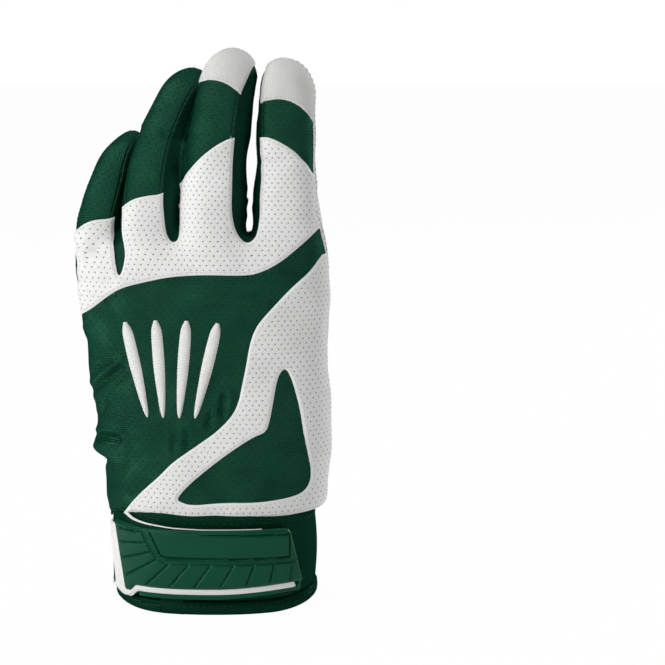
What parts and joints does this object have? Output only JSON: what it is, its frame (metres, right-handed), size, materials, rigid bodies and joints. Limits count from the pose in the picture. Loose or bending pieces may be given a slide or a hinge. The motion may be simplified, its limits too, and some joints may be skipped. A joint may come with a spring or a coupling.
{
  "type": "batting glove",
  "caption": "Left-hand batting glove with perforated leather overlays, stretch mesh back, embossed leather palm and a hinged wrist strap with a moulded tab.",
  "frame": {"origin": "centre of the outer box, in the plane that the cuff stands on", "axes": "+Z from the cuff to the fingertips, -Y out of the back of the hand, +X to the thumb side"},
  "size_m": [0.102, 0.069, 0.2211],
  "materials": {
    "overlay": "perforated synthetic leather",
    "palm": "embossed goatskin",
    "mesh": "perforated stretch mesh",
    "stretch": "smooth elastic knit",
    "cuff": "ribbed knit over neoprene",
    "tab": "moulded, satin",
    "trim": "moulded, satin",
    "thread": "satin stitch",
    "hook_and_loop": "hook and loop tape"
  },
  "bodies": {
    "glove": {"knuckle_overlay": "overlay", "side_overlay": "overlay", "index_tip": "overlay", "middle_tip": "overlay", "thumb_tip_panel": "overlay", "thumb_base_panel": "overlay", "palm_leather": "palm", "index_leather": "palm", "middle_leather": "palm", "ring_leather": "palm", "pinky_leather": "palm", "thumb_leather": "palm", "back_mesh": "mesh", "window_mesh": "mesh", "index_mesh": "mesh", "middle_mesh": "mesh", "ring_mesh": "mesh", "pinky_mesh": "mesh", "thumb_mesh": "mesh", "thumb_gusset": "mesh", "little_side_strip": "mesh", "index_middle_fourchette": "stretch", "middle_ring_fourchette": "stretch", "ring_pinky_fourchette": "stretch", "slit_gusset": "stretch", "cuff_band": "cuff", "cuff_hem": "cuff", "strap_anchor": "cuff", "emblem_bar_1": "thread", "emblem_bar_2": "thread", "emblem_bar_3": "thread", "emblem_bar_4": "thread", "loop_patch": "hook_and_loop"},
    "strap": {"strap_band": "cuff", "hook_patch": "hook_and_loop", "tab_face": "tab", "tab_trim": "trim"}
  },
  "joints": [
    {"name": "strap_open", "type": "hinge", "parent": "glove", "child": "strap", "pos_m": [-0.03798, -0.00911, 0.0205], "axis": [0, 0, -1], "range_deg": [0, 150]}
  ]
}
